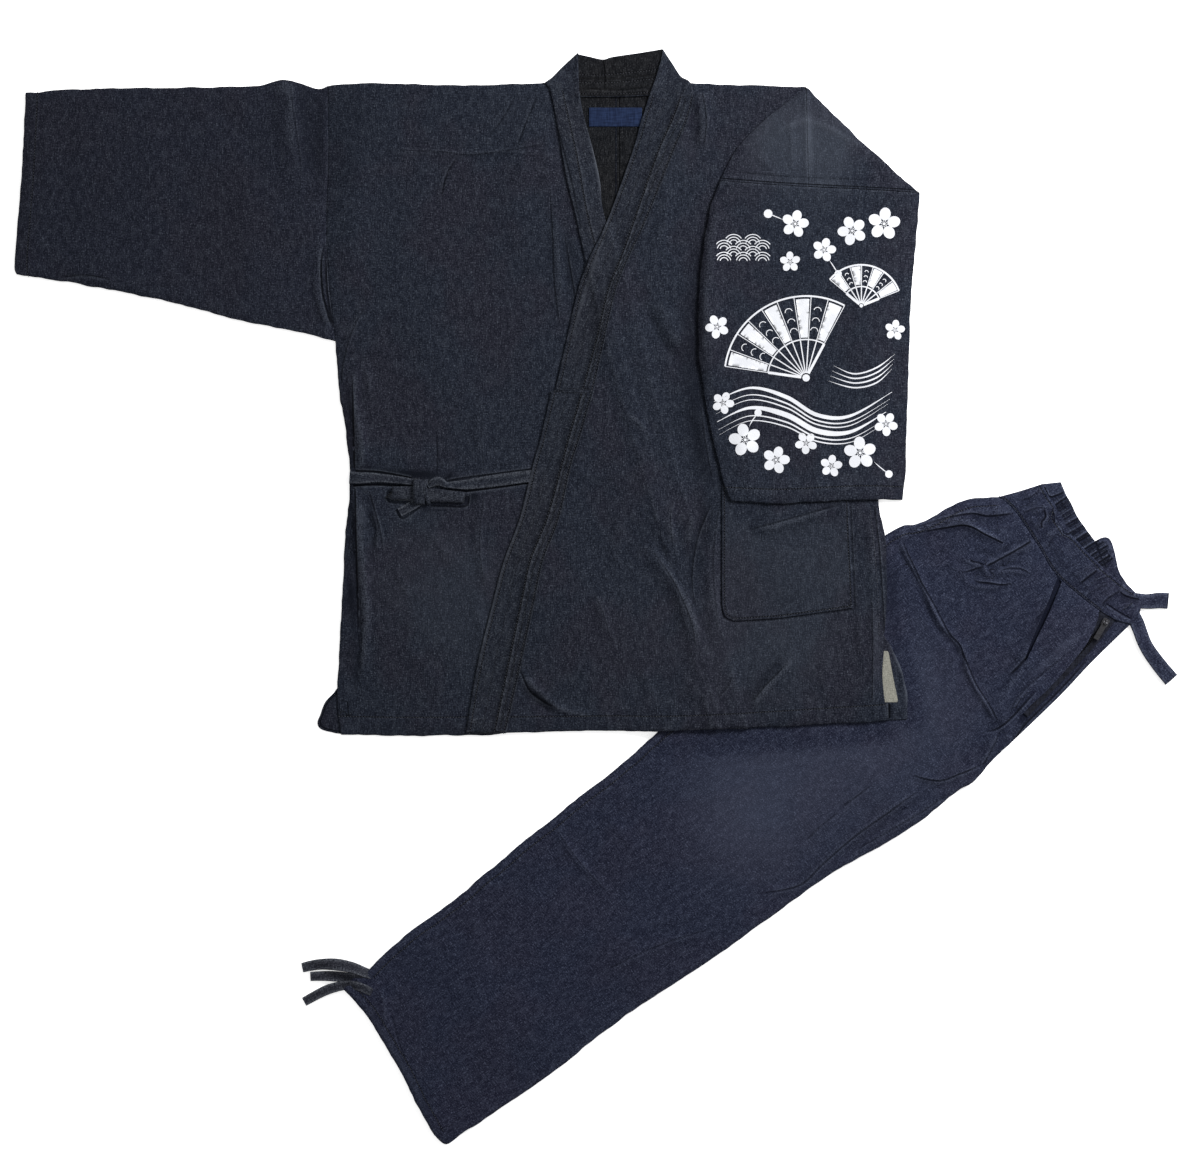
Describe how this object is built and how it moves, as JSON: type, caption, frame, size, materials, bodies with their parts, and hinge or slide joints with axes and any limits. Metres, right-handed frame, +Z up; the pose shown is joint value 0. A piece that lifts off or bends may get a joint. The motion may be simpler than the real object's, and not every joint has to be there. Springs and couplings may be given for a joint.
{
  "type": "samue",
  "caption": "Traditional work set laid flat: a wrap-front jacket with a folded-over sleeve, side tie and patch pocket, over folded trousers with waist and hem ties.",
  "frame": {"origin": "middle of the underside, on the surface that the set lies on", "axes": "+Z up from the surface, +X towards the right sleeve's side, +Y towards the collar"},
  "size_m": [1.3384, 1.26, 0.0163],
  "materials": {
    "jacket_denim": "matt woven denim, dark indigo with fine pale flecks",
    "trouser_denim": "matt woven denim, bluer indigo with fine pale flecks",
    "label_cloth": "plain woven satin, blue",
    "zip_cloth": "dark woven tape",
    "zip_metal": "bright, slightly worn"
  },
  "bodies": {
    "garment": {"back_left": "jacket_denim", "back_right": "jacket_denim", "front_left": "jacket_denim", "front_right": "jacket_denim", "sleeve_left": "jacket_denim", "sleeve_right": "jacket_denim", "collar_left": "jacket_denim", "collar_back": "jacket_denim", "collar_right_upper": "jacket_denim", "collar_right_lower": "jacket_denim", "pocket": "jacket_denim", "tie_strap_left": "jacket_denim", "tie_strap_right": "jacket_denim", "tie_bow": "jacket_denim", "leg_layers": "trouser_denim", "leg_front": "trouser_denim", "fly_underlap": "trouser_denim", "waistband_front": "trouser_denim", "waistband_back": "trouser_denim", "pocket_facing": "trouser_denim", "waist_tie_upper": "trouser_denim", "waist_tie_lower": "trouser_denim", "hem_tie_upper": "trouser_denim", "hem_tie_middle": "trouser_denim", "hem_tie_lower": "trouser_denim", "neck_label": "label_cloth", "zip_tape": "zip_cloth", "zip_slider": "zip_metal"},
    "pull_tab": {"zip_pull": "zip_metal"}
  },
  "joints": [
    {"name": "pull_tab_hinge", "type": "hinge", "parent": "garment", "child": "pull_tab", "pos_m": [0.5841, -0.02993, 0.0124], "axis": [-0.8693, 0.4943, 0], "range_deg": [0, 150]}
  ]
}
